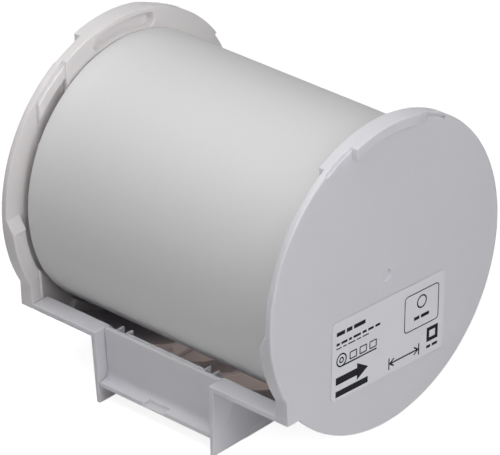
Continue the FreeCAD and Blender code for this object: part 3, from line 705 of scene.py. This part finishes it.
# %% The tape's width as a plain dimension arrow
WIDTH_MIDDLE = 7.9
WIDTH_HEIGHT = -9.6
TICK_SLANT = 0.6
mark(print_bm, WIDTH_MIDDLE, WIDTH_HEIGHT, 12.6, LINE)
for side in (-1, 1):
    mark(print_bm, WIDTH_MIDDLE + side * 6.6, WIDTH_HEIGHT, LINE, 3.8)
    for slant in (-1, 1):
        tip_along = WIDTH_MIDDLE + side * 5.3
        tip_up = WIDTH_HEIGHT + slant * 0.65
        mark(print_bm, tip_along, tip_up, 2.1, LINE, turn=side * slant * -TICK_SLANT)
print("dimension arrow at", WIDTH_MIDDLE, "mm")

# %% A framed spot and a framed square
SPOT_MIDDLE = 15.3
hollow(print_bm, mark(print_bm, SPOT_MIDDLE, 3.7, 15.3, 12.2, corner=1.4), 0.36)
ring(print_bm, SPOT_MIDDLE, 6.0, 2.2, 1.7)
hollow(print_bm, mark(print_bm, 20.4, -6.4, 5.0, 4.7), 1.2)
print("all marks:", len(print_bm.faces), "flat faces")

# %% Give the print its thickness and lay it on the label
solid = bmesh.ops.extrude_face_region(print_bm, geom=list(print_bm.faces))
lifted = [item for item in solid["geom"] if isinstance(item, bmesh.types.BMVert)]
bmesh.ops.translate(print_bm, verts=lifted, vec=(0, 0, INK_HEIGHT))
bmesh.ops.transform(print_bm, matrix=label_place, verts=print_bm.verts)
bmesh.ops.recalc_face_normals(print_bm, faces=print_bm.faces)
label_print = add_piece("label_print", print_bm, label_ink, "frame")
for polygon in label_print.data.polygons:
    polygon.use_smooth = False

# %% [markdown]
# ## The pieces inside
# The card tube, the two core hubs and the two drag felts hardly show: a little of the hubs and felts
# can be seen through the gaps beside the roll. Their CAD shapes are right as they are, so copies
# would gain nothing. They only take their materials.

# %% Materials on the carried-over nodes
INSIDE = {
    "core_tube": core_card,
    "left_core_hub": hub_plastic,
    "right_core_hub": hub_plastic,
    "left_drag_felt": drag_felt,
    "right_drag_felt": drag_felt,
}
for node, material in INSIDE.items():
    nodes[node].material_slots[0].material = material
    print(node, "->", material.name)

# %% [markdown]
# ## Floor and background
# The photograph was cut out on pure white. A plain pale floor gives the object something to stand on.
# For rays from the camera and for mirror-like rays it also shines a little, so that it shows white,
# and the object's shadow still falls on it faintly. A brighter lamp would also turn it white, but it
# would bleach the object with it. The floor doesn't shine under the roll inside the foot, where the
# real floor is in deep shade behind the windows of the cradle.

# %% Floor
FLOOR_SIZE = 6.0
FLOOR_SHINE = 0.8
SHADE_FRONT = -30 * MM
SHADE_REAR = 22 * MM
SHADE_SIDE = 24 * MM
SPECKLE_SIZE = 3 * MM
FLOOR_DARK = (0.79, 0.79, 0.79, 1)
FLOOR_LIGHT = (0.81, 0.81, 0.81, 1)
WHITE = (1, 1, 1, 1)


def direct_rays(wire):
    """1 for rays that come straight from the camera, a glossy surface or a clear one."""
    path = wire.tree.nodes.new("ShaderNodeLightPath")
    names = ("Is Camera Ray", "Is Glossy Ray", "Is Transmission Ray")
    camera_ray, glossy_ray, clear_ray = [Wire(wire.tree, path.outputs[name]) for name in names]
    return camera_ray.math("MAXIMUM", camera_ray, camera_ray.math("MAXIMUM", glossy_ray, clear_ray))


def floor_material():
    material, shader, place = new_material("floor", Roughness=0.8)
    speckle = noise(place, SPECKLE_SIZE)
    blend(speckle, FLOOR_DARK, FLOOR_LIGHT).feed(shader.inputs["Base Color"])
    tree = place.tree
    split = tree.nodes.new("ShaderNodeSeparateXYZ")
    place.feed(split.inputs[0])
    x, y = Wire(tree, split.outputs["X"]), Wire(tree, split.outputs["Y"])
    shade_middle = (SHADE_REAR + SHADE_FRONT) / 2
    shade_half = (SHADE_REAR - SHADE_FRONT) / 2
    in_foot = (abs(x) < SHADE_SIDE) * (abs(y - shade_middle) < shade_half)
    shine = place.node("ShaderNodeEmission", inputs={"Color": WHITE, "Strength": FLOOR_SHINE})
    both = place.node("ShaderNodeAddShader", inputs={0: Wire(tree, shader.outputs[0]), 1: shine})
    factor = direct_rays(place) * (1 - in_foot)
    mixed = place.node("ShaderNodeMixShader", inputs={0: factor, 1: Wire(tree, shader.outputs[0]), 2: both})
    mixed.feed(tree.nodes["Material Output"].inputs["Surface"])
    return material


floor_bm = bmesh.new()
bmesh.ops.create_grid(floor_bm, x_segments=1, y_segments=1, size=FLOOR_SIZE / 2)
floor_mesh = bpy.data.meshes.new("floor")
floor_bm.to_mesh(floor_mesh)
floor_bm.free()
floor_mesh.materials.append(floor_material())
floor = bpy.data.objects.new("floor", floor_mesh)
bpy.context.scene.collection.objects.link(floor)
print("floor:", FLOOR_SIZE, "m across")

# %% [markdown]
# ## Soft studio light
# The roll is brightest a little in front of its top and falls off evenly to both sides, and the
# right end plate is one even grey. One large box overhead would light the roll far too evenly. So a
# long strip light close above the roll gives that peak, a second strip in front widens it, and a
# large soft box at the right lights the end plate. Weak boxes in front and behind lift the foot and
# the far side of the roll. Each lamp is one row of a table, so that it can be switched off by
# taking its row out.

# %% Lamps
# Name, azimuth from the front towards the right, elevation, distance, width, depth, and power in watts.
LAMPS = [
    ("near_strip", 0, 72, 0.17, 0.3, 0.06, 0.084),
    ("front_strip", 0, 60, 0.35, 0.9, 0.15, 0.69),
    ("right", 90, 25, 1.0, 0.8, 0.8, 3.46),
    ("front", 0, 35, 1.0, 0.8, 0.8, 0.42),
    ("rear", 180, 72, 1.0, 0.8, 0.8, 0.7),
]


def add_lamp(name, azimuth, elevation, distance, width, depth, watts):
    """A soft box that looks at the roll's middle."""
    turn, rise = math.radians(azimuth), math.radians(elevation)
    towards = Vector((math.sin(turn) * math.cos(rise), -math.cos(turn) * math.cos(rise), math.sin(rise)))
    lamp = bpy.data.lights.new(name, "AREA")
    lamp.shape = "RECTANGLE"
    lamp.size = width
    lamp.size_y = depth
    lamp.energy = watts
    box = bpy.data.objects.new(name, lamp)
    box.location = Vector((0, 0, axis_height)) + towards * distance
    box.rotation_euler = towards.to_track_quat("Z", "Y").to_euler()
    bpy.context.scene.collection.objects.link(box)
    return box


for lamp in LAMPS:
    add_lamp(*lamp)
print("lamps:", [lamp[0] for lamp in LAMPS])

# %% [markdown]
# The gap between the roll and the cradle glows a warm grey in the photograph, because light comes up
# through the windows of the cradle. A very weak, warm panel inside the foot, just over the floor,
# does the same. Only the light that it sheds shows, not the panel itself.

# %% A panel under the cradle
PANEL_WIDTH = 44 * MM
PANEL_DEPTH = 50 * MM
PANEL_WATTS = 0.0016
PANEL_COLOUR = (1.0, 0.80, 0.68)
PANEL_REAR = -6 * MM
PANEL_RISE = 1 * MM
panel = bpy.data.lights.new("panel", "AREA")
panel.shape = "RECTANGLE"
panel.size = PANEL_WIDTH
panel.size_y = PANEL_DEPTH
panel.energy = PANEL_WATTS
panel.color = PANEL_COLOUR
panel_box = bpy.data.objects.new("panel", panel)
panel_box.location = (0, PANEL_REAR, PANEL_RISE)
panel_box.rotation_euler = (math.pi, 0, 0)
panel_box.visible_camera = False
panel_box.visible_glossy = False
bpy.context.scene.collection.objects.link(panel_box)
print("panel:", PANEL_WATTS, "W")

# %% [markdown]
# ## The room
# The room itself sheds no light on the object, because the lamps already do all of it. It only
# shows: rays from the camera and mirror-like rays see pure white, and all others see black. A Mix
# Shader between two backgrounds, with the same mask as the floor's, does that.

# %% World
ROOM_LIGHT = 0.0
world = bpy.data.worlds.new("studio")
world.use_nodes = True
background = world.node_tree.nodes["Background"]
background.inputs["Strength"].default_value = ROOM_LIGHT
room = Wire(world.node_tree, background.outputs[0])
white = room.node("ShaderNodeBackground", inputs={"Color": WHITE, "Strength": 1.0})
seen = room.node("ShaderNodeMixShader", inputs={0: direct_rays(room), 1: room, 2: white})
background.inputs["Color"].default_value = WHITE
seen.feed(world.node_tree.nodes["World Output"].inputs["Surface"])
bpy.context.scene.world = world
print("world: room", ROOM_LIGHT)

# %% [markdown]
# ## Finish
# The dressed model has to keep the engineering model's box. The Standard view shows a colour as
# it is written.

# %% Finish
bpy.context.scene.view_settings.view_transform = "Standard"
